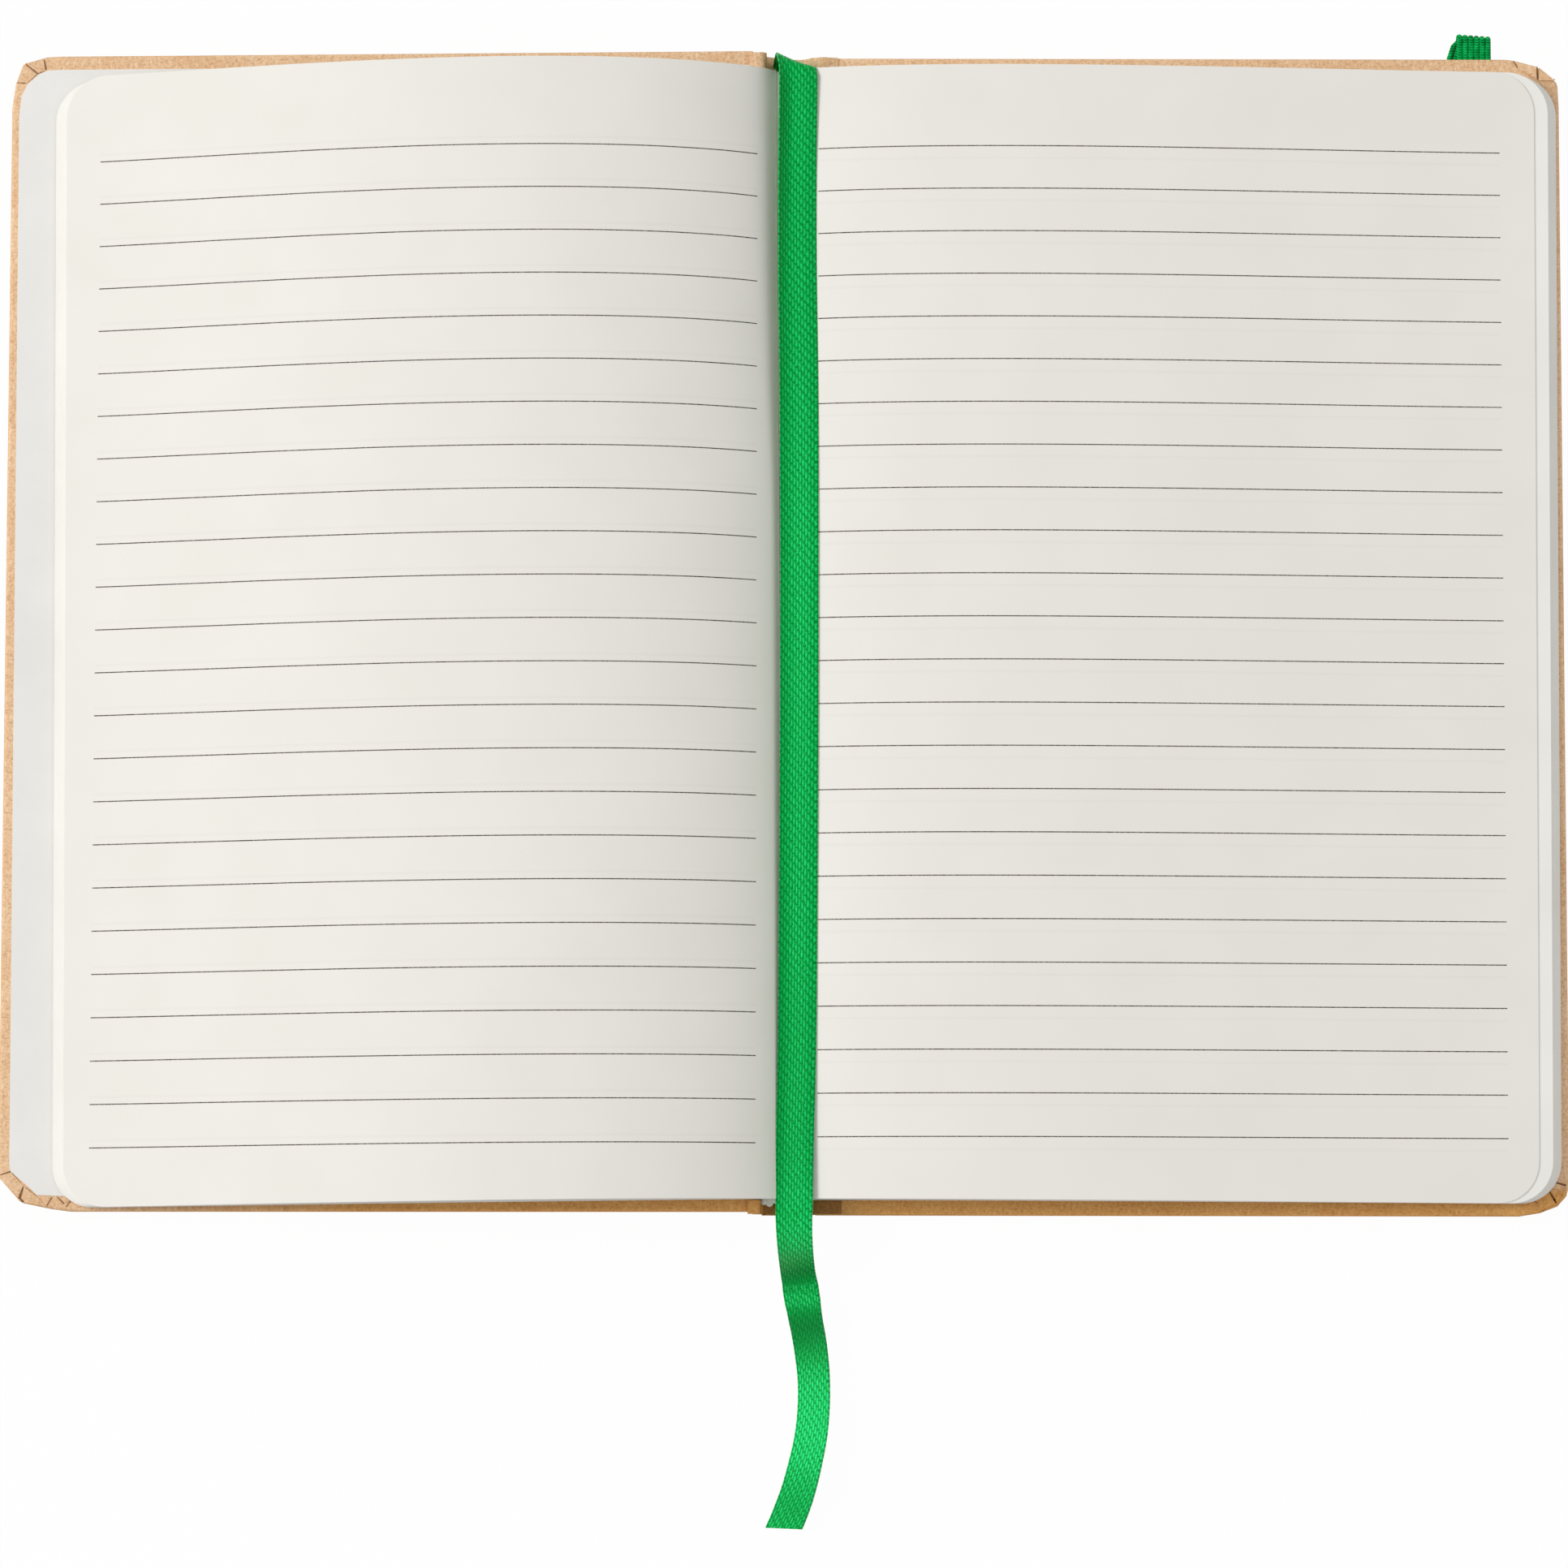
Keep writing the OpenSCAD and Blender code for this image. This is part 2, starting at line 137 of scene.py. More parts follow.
def round_corners(piece, far_x, radius, steps=10):
    """Rounds the two corners of a flat sheet at its edge X = far_x."""
    edit(piece)
    pick(piece, "VERT", lambda p: abs(p.x - far_x) < 0.01)
    bpy.ops.mesh.bevel(
        affect="VERTICES", offset=radius * MM, segments=steps, profile=0.5, clamp_overlap=False
    )
    done(piece)


def cut_across(piece, places, axis=0):
    """Cuts a flat sheet along lines of constant X (axis 0) or Y (axis 1)."""
    edit(piece)
    normal = (1, 0, 0) if axis == 0 else (0, 1, 0)
    for place in places:
        bpy.ops.mesh.select_all(action="SELECT")
        bpy.ops.mesh.bisect(plane_co=[n * place * MM for n in normal], plane_no=normal)
    done(piece)


def apply_modifiers(piece):
    deselect_all()
    bpy.context.view_layer.objects.active = piece
    piece.select_set(True)
    for modifier in list(piece.modifiers):
        bpy.ops.object.modifier_apply(modifier=modifier.name)
    return piece


def thicken(piece, thickness, offset):
    solid = piece.modifiers.new("thickness", "SOLIDIFY")
    solid.thickness = thickness * MM
    solid.offset = offset
    return apply_modifiers(piece)


def soften_edges(piece, width, steps=3, angle=50):
    bevel = piece.modifiers.new("soft edge", "BEVEL")
    bevel.width = width * MM
    bevel.segments = steps
    bevel.limit_method = "ANGLE"
    bevel.angle_limit = math.radians(angle)
    return apply_modifiers(piece)


def smooth(piece, angle=35):
    deselect_all()
    bpy.context.view_layer.objects.active = piece
    piece.select_set(True)
    bpy.ops.object.shade_smooth_by_angle(angle=math.radians(angle))
    return piece


def copy_of(piece, name):
    twin = piece.copy()
    twin.data = piece.data.copy()
    twin.name = name
    twin.data.name = name
    bpy.context.scene.collection.objects.link(twin)
    return twin


def join(pieces, name):
    deselect_all()
    for piece in pieces:
        piece.select_set(True)
    bpy.context.view_layer.objects.active = pieces[0]
    bpy.ops.object.join()
    joined = bpy.context.object
    joined.name = name
    joined.data.name = name
    return joined


def place(piece, matrix):
    piece.data.transform(matrix)
    if matrix.to_3x3().determinant() < 0:
        edit(piece)
        bpy.ops.mesh.select_all(action="SELECT")
        bpy.ops.mesh.flip_normals()
        done(piece)
    return piece


def moved(x, y, z):
    return Matrix.Translation(Vector((x, y, z)) * MM)


def paint(piece, material):
    piece.data.materials.clear()
    piece.data.materials.append(material)
    return piece


# Sizes of the book, the same as the solids have

GUTTER_X = -1.5
GUTTER_Z = 9.0
PAGE_LOW = -102.2
PAGE_HIGH = 101.7
COVER_H = 210.0
COVER_W = 135.4
COVER_R = 8.5
COVER_T = 2.5
FRONT_HINGE = (-6.0, 6.2)
FRONT_TILT = math.degrees(math.asin(FRONT_HINGE[1] / COVER_W))
FRONT_SHIFT = 0.5
BACK_HINGE = (4.6, 2.1)
LEAF_SKEW = 0.5
FRONT_LEAF_END = 130.77
BACK_LEAF_END = 140.4


def bow(s, rise, fall):
    if s <= 0 or s >= 1:
        return 0.0
    top = rise / (rise + fall)
    return s ** rise * (1 - s) ** fall / (top ** rise * (1 - top) ** fall)


def front_top(u):
    s = u / (FRONT_LEAF_END + 2)
    return GUTTER_Z + (6.9 - GUTTER_Z) * min(max(s, 0), 1) + 15.2 * bow(s, 0.76, 1.4)


def back_top(u):
    s = u / (BACK_LEAF_END + 1)
    return GUTTER_Z + (8.4 - GUTTER_Z) * min(max(s, 0), 1) + 6.4 * bow(s, 0.7, 1.65)


def front_low(u):
    slope = math.tan(math.radians(FRONT_TILT))
    face = FRONT_HINGE[1] + 2.7 / math.cos(math.radians(FRONT_TILT)) - (u - GUTTER_X + FRONT_HINGE[0]) * slope
    return face + 0.15 + 3.0 * bow(u / (FRONT_LEAF_END + 2), 1, 1.2)


def back_low(u):
    return BACK_HINGE[1] + 2.7 + 0.15 + 1.6 * bow(u / (BACK_LEAF_END + 1), 1, 1.2)


# Materials

def new_material(name):
    material = bpy.data.materials.new(name)
    material.use_nodes = True
    return material, material.node_tree, material.node_tree.nodes["Principled BSDF"]


def node(tree, kind, **settings):
    made = tree.nodes.new(kind)
    for key, value in settings.items():
        setattr(made, key, value)
    return made


def math_node(tree, operation, a, b=None, c=None):
    made = node(tree, "ShaderNodeMath", operation=operation)
    for slot, value in zip(made.inputs, (a, b, c)):
        if value is None:
            continue
        if isinstance(value, (int, float)):
            slot.default_value = value
        else:
            tree.links.new(value, slot)
    return made.outputs[0]


def object_xyz(tree):
    place_node = node(tree, "ShaderNodeTexCoord")
    split = node(tree, "ShaderNodeSeparateXYZ")
    tree.links.new(place_node.outputs["Object"], split.inputs[0])
    return place_node.outputs["Object"], split.outputs


def noise(tree, where, scale, detail=3.0, stretch=None):
    made = node(tree, "ShaderNodeTexNoise")
    made.inputs["Scale"].default_value = scale
    made.inputs["Detail"].default_value = detail
    if stretch:
        turn = node(tree, "ShaderNodeMapping")
        turn.inputs["Scale"].default_value = stretch
        tree.links.new(where, turn.inputs["Vector"])
        where = turn.outputs[0]
    tree.links.new(where, made.inputs["Vector"])
    return made.outputs["Fac"]


def ramp(tree, value, stops):
    made = node(tree, "ShaderNodeValToRGB")
    while len(made.color_ramp.elements) < len(stops):
        made.color_ramp.elements.new(0.5)
    for element, (at, colour) in zip(made.color_ramp.elements, stops):
        element.position = at
        element.color = (*colour, 1)
    tree.links.new(value, made.inputs[0])
    return made.outputs[0]


def mix_colour(tree, share, a, b, way="MIX"):
    made = node(tree, "ShaderNodeMix", data_type="RGBA", blend_type=way)
    for slot, value in ((made.inputs[0], share), (made.inputs[6], a), (made.inputs[7], b)):
        if isinstance(value, (int, float)):
            slot.default_value = value
        elif isinstance(value, tuple):
            slot.default_value = (*value, 1)
        else:
            tree.links.new(value, slot)
    return made.outputs[2]


def bump(tree, shader, height, strength, distance):
    made = node(tree, "ShaderNodeBump")
    made.inputs["Strength"].default_value = strength
    made.inputs["Distance"].default_value = distance * MM
    tree.links.new(height, made.inputs["Height"])
    tree.links.new(made.outputs[0], shader.inputs["Normal"])


def srgb(r, g, b):
    """A colour as it is seen, 0 to 255, turned into the linear values that the nodes take."""
    return tuple(c / 255 / 12.92 if c <= 10 else ((c / 255 + 0.055) / 1.055) ** 2.4 for c in (r, g, b))


def paper_ground(tree, where, light, dark):
    """Uncoated paper: soft clouds of tone."""
    clouds = noise(tree, where, 60, 3)
    return ramp(tree, clouds, [(0.3, dark), (0.7, light)])


def ruled_paper(name, first_y, pitch, count, x_low, x_high, slant, ghost):
    """Cream paper with printed lines: Y falls by one pitch from line to line and the lines slant a little."""
    material, tree, shader = new_material(name)
    where, (x, y, z) = object_xyz(tree)
    ground = paper_ground(tree, where, srgb(243, 240, 233), srgb(240, 237, 229))
    level = math_node(tree, "MULTIPLY_ADD", x, -math.tan(math.radians(slant)), y)
    down = math_node(tree, "MULTIPLY_ADD", level, -1 / (pitch * MM), first_y / pitch + 0.5)
    grain = noise(tree, where, 4000, 1, (1, 0.25, 1))

    def lines(offset, width, strength, left, right):
        row = math_node(tree, "ADD", down, offset / pitch)
        middle = math_node(tree, "ABSOLUTE", math_node(tree, "SUBTRACT", math_node(tree, "FRACT", row), 0.5))
        near = math_node(tree, "SUBTRACT", width / 2 / pitch + 0.004, middle)
        mask = math_node(tree, "MULTIPLY", near, 1 / 0.008)
        mask.node.use_clamp = True
        started = math_node(tree, "GREATER_THAN", row, 0)
        ended = math_node(tree, "LESS_THAN", row, count)
        inside = math_node(tree, "MULTIPLY", started, ended)
        from_left = math_node(tree, "GREATER_THAN", x, left * MM)
        to_right = math_node(tree, "LESS_THAN", x, right * MM)
        inside = math_node(tree, "MULTIPLY", inside, math_node(tree, "MULTIPLY", from_left, to_right))
        return math_node(tree, "MULTIPLY", math_node(tree, "MULTIPLY", mask, inside), strength)

    printed = lines(0, 0.2, 0.95, x_low, x_high)
    printed = math_node(tree, "MULTIPLY", printed, math_node(tree, "MULTIPLY_ADD", grain, 0.8, 0.55))
    printed.node.use_clamp = True
    behind = lines(ghost, 0.5, 0.035, x_low, x_high)
    colour = mix_colour(tree, behind, ground, srgb(150, 150, 160))
    colour = mix_colour(tree, printed, colour, srgb(70, 54, 48))
    tree.links.new(colour, shader.inputs["Base Color"])
    shader.inputs["Roughness"].default_value = 0.88
    shader.inputs["Specular IOR Level"].default_value = 0.2
    tooth = noise(tree, where, 2600, 2)
    bump(tree, shader, tooth, 0.12, 0.05)
    return material


def leaf_edges():
    """The cut edges and margins of the leaves: cream, with fine darker lines of painted shade between the
    leaves.
    """
    material, tree, shader = new_material("leaf_edges")
    where, (x, y, z) = object_xyz(tree)
    ground = paper_ground(tree, where, srgb(251, 249, 244), srgb(247, 245, 239))
    streaks = noise(tree, where, 900, 2, (0.05, 0.05, 6))
    # Painted shade: the streaks darken the cream a little in thin lines between the leaves.
    colour = mix_colour(tree, math_node(tree, "MULTIPLY", streaks, 0.07), ground, srgb(170, 164, 150))
    tree.links.new(colour, shader.inputs["Base Color"])
    shader.inputs["Roughness"].default_value = 0.9
    shader.inputs["Specular IOR Level"].default_value = 0.15
    bump(tree, shader, streaks, 0.3, 0.06)
    return material


def plain_paper(name, light, dark):
    material, tree, shader = new_material(name)
    where, (x, y, z) = object_xyz(tree)
    colour = paper_ground(tree, where, light, dark)
    tree.links.new(colour, shader.inputs["Base Color"])
    shader.inputs["Roughness"].default_value = 0.85
    shader.inputs["Specular IOR Level"].default_value = 0.2
    tooth = noise(tree, where, 1800, 3)
    waves = noise(tree, where, 90, 2)
    height = math_node(tree, "MULTIPLY_ADD", waves, 3.0, tooth)
    bump(tree, shader, height, 0.14, 0.06)
    return material


def kraft_paper(name, painted_shade):
    """Brown kraft: cloudy pulp, short darker and lighter fibres, a dull surface, and painted shade: a deeper
    brown on faces that turn away from up and near the foot, with the second argument multiplying it all.
    """
    material, tree, shader = new_material(name)
    where, (x, y, z) = object_xyz(tree)
    clouds = noise(tree, where, 140, 5)
    ground = ramp(tree, clouds, [(0.3, srgb(230, 186, 142)), (0.7, srgb(240, 202, 162))])
    fibres = noise(tree, where, 3000, 4, (0.6, 1.0, 1.0))
    dark_share = ramp(tree, fibres, [(0.46, (0, 0, 0)), (0.72, (1, 1, 1))])
    colour = mix_colour(tree, math_node(tree, "MULTIPLY", dark_share, 0.55), ground, srgb(178, 124, 74))
    hairs = noise(tree, where, 2400, 2, (1.0, 0.4, 1.0))
    light_share = ramp(tree, hairs, [(0.5, (0, 0, 0)), (0.72, (1, 1, 1))])
    colour = mix_colour(tree, math_node(tree, "MULTIPLY", light_share, 0.6), colour, srgb(250, 226, 192))
    # Painted shade: faces that turn away from up, the edges and side walls, get a deeper, warmer brown, as if
    # in shade.
    facing = node(tree, "ShaderNodeTexCoord")
    split = node(tree, "ShaderNodeSeparateXYZ")
    tree.links.new(facing.outputs["Normal"], split.inputs[0])
    level = math_node(tree, "ABSOLUTE", split.outputs[2])
    edge = math_node(tree, "MULTIPLY", math_node(tree, "SUBTRACT", 0.8, level), 1.1)
    edge.node.use_clamp = True
    colour = mix_colour(tree, edge, colour, srgb(212, 152, 84))
    # Painted shade: near the foot edge, except far out on the front cover, the colour is multiplied to a
    # deeper brown for the shadow that falls there.
    low = math_node(tree, "MULTIPLY_ADD", y, -700, -71.5)
    low.node.use_clamp = True
    inward = math_node(tree, "MULTIPLY_ADD", x, 25, 2.9)
    inward.node.use_clamp = True
    foot_shade_mask = math_node(tree, "MULTIPLY", low, inward)
    colour = mix_colour(tree, foot_shade_mask, colour, (0.91, 0.71, 0.37), "MULTIPLY")
    # Painted shade: the second argument multiplies the whole colour; it is white for plain kraft and darker
    # for kraft in shade.
    colour = mix_colour(tree, 1.0, colour, painted_shade, "MULTIPLY")
    tree.links.new(colour, shader.inputs["Base Color"])
    shader.inputs["Roughness"].default_value = 0.8
    shader.inputs["Specular IOR Level"].default_value = 0.25
    creases = noise(tree, where, 260, 4)
    height = math_node(tree, "MULTIPLY_ADD", creases, 2.0, fibres)
    bump(tree, shader, height, 0.25, 0.08)
    return material


def grey_board():
    material, tree, shader = new_material("grey_board")
    where, (x, y, z) = object_xyz(tree)
    specks = noise(tree, where, 900, 4)
    colour = ramp(tree, specks, [(0.35, srgb(122, 117, 108)), (0.65, srgb(160, 155, 145))])
    tree.links.new(colour, shader.inputs["Base Color"])
    shader.inputs["Roughness"].default_value = 0.9
    bump(tree, shader, specks, 0.3, 0.08)
    return material


def lining_cloth():
    material, tree, shader = new_material("lining_cloth")
    where, (x, y, z) = object_xyz(tree)
    warp = math_node(tree, "SINE", math_node(tree, "MULTIPLY", x, 6.28 / 0.0006))
    weft = math_node(tree, "SINE", math_node(tree, "MULTIPLY", y, 6.28 / 0.0006))
    weave = math_node(tree, "MULTIPLY", warp, weft)
    shade = math_node(tree, "MULTIPLY_ADD", weave, 0.5, 0.5)
    colour = ramp(tree, shade, [(0.2, srgb(196, 190, 174)), (0.8, srgb(226, 221, 207))])
    tree.links.new(colour, shader.inputs["Base Color"])
    shader.inputs["Roughness"].default_value = 0.9
    bump(tree, shader, weave, 0.4, 0.06)
    return material


def satin():
    """Satin ribbon on the UV map, U across and V along in millimetres: long stitches in slanting rows, with
    painted highlight and shade along it from a second UV map.
    """
    material, tree, shader = new_material("green_satin")
    uv = node(tree, "ShaderNodeUVMap", uv_map="weave")
    split = node(tree, "ShaderNodeSeparateXYZ")
    tree.links.new(uv.outputs[0], split.inputs[0])
    across, along = split.outputs[0], split.outputs[1]
    # A second UV map carries painted highlight and shade: a brightness per row along the ribbon, lower on the
    # curled left edge.
    painted_sheen_and_shade = node(tree, "ShaderNodeUVMap", uv_map="painted_sheen_and_shade")
    painted_sheen_split = node(tree, "ShaderNodeSeparateXYZ")
    tree.links.new(painted_sheen_and_shade.outputs[0], painted_sheen_split.inputs[0])
    mottle = node(tree, "ShaderNodeTexNoise")
    mottle.inputs["Scale"].default_value = 2.2
    mottle.inputs["Detail"].default_value = 3
    tree.links.new(uv.outputs[0], mottle.inputs["Vector"])
    wander = math_node(tree, "MULTIPLY_ADD", mottle.outputs["Fac"], 0.5, across)
    thread = math_node(tree, "MULTIPLY", wander, 1 / 0.55)
    column = math_node(tree, "FLOOR", thread)
    phase = math_node(tree, "MULTIPLY_ADD", column, -0.36, math_node(tree, "MULTIPLY", along, 1 / 1.7))
    long_way = math_node(tree, "SINE", math_node(tree, "MULTIPLY", math_node(tree, "FRACT", phase), 3.1416))
    cross_way = math_node(tree, "SINE", math_node(tree, "MULTIPLY", math_node(tree, "FRACT", thread), 3.1416))
    long_way = math_node(tree, "POWER", long_way, 0.6)
    cross_way = math_node(tree, "POWER", cross_way, 0.8)
    stitch = math_node(tree, "MULTIPLY", long_way, cross_way)
    edge = math_node(tree, "ABSOLUTE", math_node(tree, "SUBTRACT", across, 3.5))
    selvedge = math_node(tree, "MULTIPLY", math_node(tree, "SUBTRACT", edge, 3.0), 4.0)
    selvedge.node.use_clamp = True
    bead = math_node(tree, "SINE", math_node(tree, "MULTIPLY", along, TURN / 0.9))
    beads = math_node(tree, "MULTIPLY", selvedge, bead)
    height = math_node(tree, "MULTIPLY_ADD", beads, 0.8, stitch)
    blotches = math_node(tree, "SUBTRACT", mottle.outputs["Fac"], 0.5)
    shade = math_node(tree, "MULTIPLY_ADD", stitch, 0.5, 0.25)
    shade = math_node(tree, "MULTIPLY_ADD", blotches, 0.55, shade)
    shade = math_node(tree, "MULTIPLY_ADD", beads, 0.12, shade)
    # Painted highlight and shade: the tone is scaled by that brightness.
    shade = math_node(tree, "MULTIPLY", shade, painted_sheen_split.outputs[0])
    colour = ramp(tree, shade, [(0.05, srgb(0, 86, 28)), (0.5, srgb(2, 161, 60)), (0.95, srgb(38, 234, 126))])
    tree.links.new(colour, shader.inputs["Base Color"])
    shader.inputs["Roughness"].default_value = 0.36
    shader.inputs["Specular IOR Level"].default_value = 0.55
    shader.inputs["Specular Tint"].default_value = (0.06, 1.0, 0.4, 1)
    shader.inputs["Anisotropic"].default_value = 0.5
    bump(tree, shader, height, 0.8, 0.1)
    return material


def knitted_elastic():
    """Elastic: tiny cross stitches along every rib."""
    material, tree, shader = new_material("green_elastic")
    where, (x, y, z) = object_xyz(tree)
    run = math_node(tree, "ADD", y, math_node(tree, "MULTIPLY", z, 0.8))
    stitch = math_node(tree, "SINE", math_node(tree, "MULTIPLY", run, TURN / 0.00046))
    side = math_node(tree, "SINE", math_node(tree, "MULTIPLY", x, TURN / 0.0004))
    knit = math_node(tree, "MULTIPLY_ADD", math_node(tree, "MULTIPLY", stitch, side), 0.5, stitch)
    mottle = noise(tree, where, 900, 2)
    shade = math_node(tree, "MULTIPLY_ADD", knit, 0.2, mottle)
    colour = ramp(tree, shade, [(0.2, srgb(0, 92, 34)), (0.8, srgb(14, 196, 96))])
    tree.links.new(colour, shader.inputs["Base Color"])
    shader.inputs["Roughness"].default_value = 0.7
    shader.inputs["Specular IOR Level"].default_value = 0.3
    shader.inputs["Specular Tint"].default_value = (0.1, 1.0, 0.45, 1)
    bump(tree, shader, knit, 0.5, 0.08)
    return material


RULED_LINES = 24
LEFT_RULED = ruled_paper(
    "ruled_paper_front", 85.75 + SHIFT_Y, 7.745, RULED_LINES,
    x_low=-124.4 + SHIFT_X, x_high=-5.6 + SHIFT_X, slant=0.45, ghost=1.3,
)
RIGHT_RULED = ruled_paper(
    "ruled_paper_back", 86.8 + SHIFT_Y, 7.743, RULED_LINES,
    x_low=5.4 + SHIFT_X, x_high=128.6 + SHIFT_X, slant=0.0, ghost=-2.2,
)
LEAF_EDGES = leaf_edges()
ENDPAPER = plain_paper("endpaper", srgb(240, 238, 234), srgb(235, 233, 229))
KRAFT = kraft_paper("kraft_paper", (1, 1, 1))
# Kraft with painted shade, for the recess of the joint at the foot that lies in the leaves' shadow.
KRAFT_SHADED = kraft_paper("kraft_painted_shade_in_the_joint", (0.5, 0.44, 0.4))
# Nearly black-brown kraft for strips of painted shadow along the pleat folds.
PAINTED_FOLD_SHADOW = kraft_paper("kraft_painted_fold_shadow", (0.3, 0.22, 0.15))
BOARD = grey_board()
LINING = lining_cloth()
SATIN = satin()
ELASTIC = knitted_elastic()


# Ribbon bookmark: X, Y, Z of its middle line and its roll, right edge up, the same route as the solid's,
# how far its left edge curls up, how bright its painted highlight and shade are there, and how far it is
# turned in plan

RIBBON_W = 7.0
RIBBON_T = 0.3
RIBBON_WAY = [
    (0.6, 93, 3.87, 0, 0, 1, 0), (0.6, 98, 3.87, 0, 0, 1, 0), (0.6, 101.4, 3.87, 0, 0, 1, 0.2),
    (0.65, 102.6, 4.42, -4, 0, 1, 0.6), (0.8, 102.95, 6.22, -12, 0, 0.9, 0.9),
    (0.95, 103.05, 8.4, -14, 0, 0.9, 1.2), (1.1, 103, 10.4, -13, 0, 0.9, 1.6),
    (1.3, 102.65, 12, -5, 0.2, 0.95, 1.9), (1.55, 101.1, 12.6, 3, 0.9, 1, 1.6),
    (1.6, 97.5, 12.3, 7, 1.5, 1, 0.6), (1.45, 83.3, 12, 6, 1.5, 1, 0), (1.5, 65.9, 12, 5, 1.1, 1, 0),
    (1.8, 45.4, 11.8, 10, 0.9, 1, 0), (1.95, 24, 11.5, 18, 0.8, 1.02, 0),
    (2, -0.6, 11.45, 20, 0.8, 1.02, 0), (1.95, -28.2, 11.45, 20, 0.8, 1, 0),
    (1.85, -51.8, 11.4, 20, 0.8, 0.98, 0), (1.7, -74.3, 11.4, 21, 0.8, 0.92, 0),
    (1.4, -90, 11.5, 23, 0.7, 0.9, 0), (1.3, -99, 11.6, 24, 0.5, 0.95, 0),
    (1.25, -103, 11.6, 24, 0.4, 1.08, 0), (1.25, -106, 10.9, 25, 0.3, 1.2, 0),
    (1.35, -108.8, 9.6, 26, 0.2, 1.25, 0), (1.55, -111.4, 7.6, 26, 0.1, 1.05, 0),
    (1.8, -113.6, 5, 26, 0, 0.72, 0), (2.05, -115.4, 3, 26, 0, 0.5, 0), (2.4, -117.4, 2.2, 27, 0, 0.72, 0),
    (2.7, -119.4, 2.9, 28, 0, 1, 0), (3, -121.2, 3.4, 29, 0, 0.86, 0), (3.4, -123.6, 3, 31, 0, 0.55, 0),
    (3.9, -126.2, 2.4, 33, 0, 0.55, 0), (4.4, -129.4, 2.3, 35, 0, 0.78, 0),
    (4.85, -134, 2.7, 37, 0, 1.2, 0), (4.85, -139, 3.2, 37, 0, 1.35, 0), (4.4, -144, 3.7, 36, 0, 1.42, 0),
    (3.4, -149, 3.9, 35, 0, 1.3, 0), (2.1, -154, 3.3, 34, 0, 1.05, 0), (0.6, -158.2, 2.6, 33, 0, 0.95, 0),
    (-0.6, -161, 2.3, 33, 0, 0.95, 0),
]


def eased(values, t):
    """Catmull-Rom between rows of numbers, at t counted in rows."""
    i = min(int(t), len(values) - 2)
    f = t - i
    a = values[max(i - 1, 0)]
    b = values[i]
    c = values[i + 1]
    d = values[min(i + 2, len(values) - 1)]
    return [
        0.5 * (2 * q + (r - p) * f + (2 * p - 5 * q + 4 * r - s) * f ** 2 + (3 * q - p - 3 * r + s) * f ** 3)
        for p, q, r, s in zip(a, b, c, d)
    ]


def make_ribbon():
    steps = 8
    across = 12
    rows = [eased(RIBBON_WAY, k / steps) for k in range((len(RIBBON_WAY) - 1) * steps + 1)]
    middle = [Vector(row[:3]) for row in rows]
    vertices = []
    uvs = []
    painted_sheens = []
    run = 0.0
    for k, row in enumerate(rows):
        ahead = middle[min(k + 1, len(rows) - 1)]
        behind = middle[max(k - 1, 0)]
        along = (ahead - behind).normalized()
        flat = (Vector((1, 0, 0)) - along * along.x).normalized()
        up = flat.cross(-along)
        roll = math.radians(row[3])
        lift = up.lerp(Vector((0, 0, 1)), min(max(-(row[1] + 103) / 3, 0), 1))
        side = (flat * math.cos(roll) + lift * math.sin(roll)).normalized()
        up = side.cross(-along)
        if k:
            run += (middle[k] - middle[k - 1]).length
        for j in range(across + 1):
            s = j / across - 0.5
            curled = row[4] * max(-s - 0.1, 0) ** 2 / 0.16
            droop = min(row[4], 0.8) * 0.7 * max(s - 0.2, 0) ** 2 / 0.09
            point = middle[k] + side * (s * RIBBON_W + 0.3 * curled) + up * (curled - droop)
            point.y -= s * row[6]
            point -= along * (s * 2.4 + 0.35) * max(k - len(rows) + 17, 0) / 16
            vertices.append((point + Vector((SHIFT_X, SHIFT_Y, 0))) * MM)
            uvs.append((j / across * RIBBON_W, run))
            # Painted highlight and shade: the row's brightness, lowered on the curled left edge where it
            # turns from the light.
            painted_sheens.append((row[5] * (1 - 0.22 * row[4] * max(-s * 2 - 0.25, 0)), 0))
    faces = []
    for k in range(len(rows) - 1):
        for j in range(across):
            a = k * (across + 1) + j
            faces.append((a, a + across + 1, a + across + 2, a + 1))
    mesh = bpy.data.meshes.new("ribbon")
    mesh.from_pydata(vertices, [], faces)
    for layer_name, spots in (("weave", uvs), ("painted_sheen_and_shade", painted_sheens)):
        layer = mesh.uv_layers.new(name=layer_name)
        for loop in mesh.loops:
            layer.data[loop.index].uv = spots[loop.vertex_index]
    ribbon = bpy.data.objects.new("ribbon", mesh)
    bpy.context.scene.collection.objects.link(ribbon)
    paint(ribbon, SATIN)
    thicken(ribbon, RIBBON_T, 0)
    smooth(ribbon, 60)
    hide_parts("ribbon_bookmark")
    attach(ribbon, "block")
    path = [(point + Vector((SHIFT_X, SHIFT_Y, 0))) * MM for point in middle[::4]]
    path.append((middle[-1] + Vector((SHIFT_X, SHIFT_Y, 0))) * MM)


make_ribbon()


# Leaves: one flat sheet with round fore corners, copied and bowed over the one below

LEAVES_A_SIDE = 16
LEAF_T = 0.16


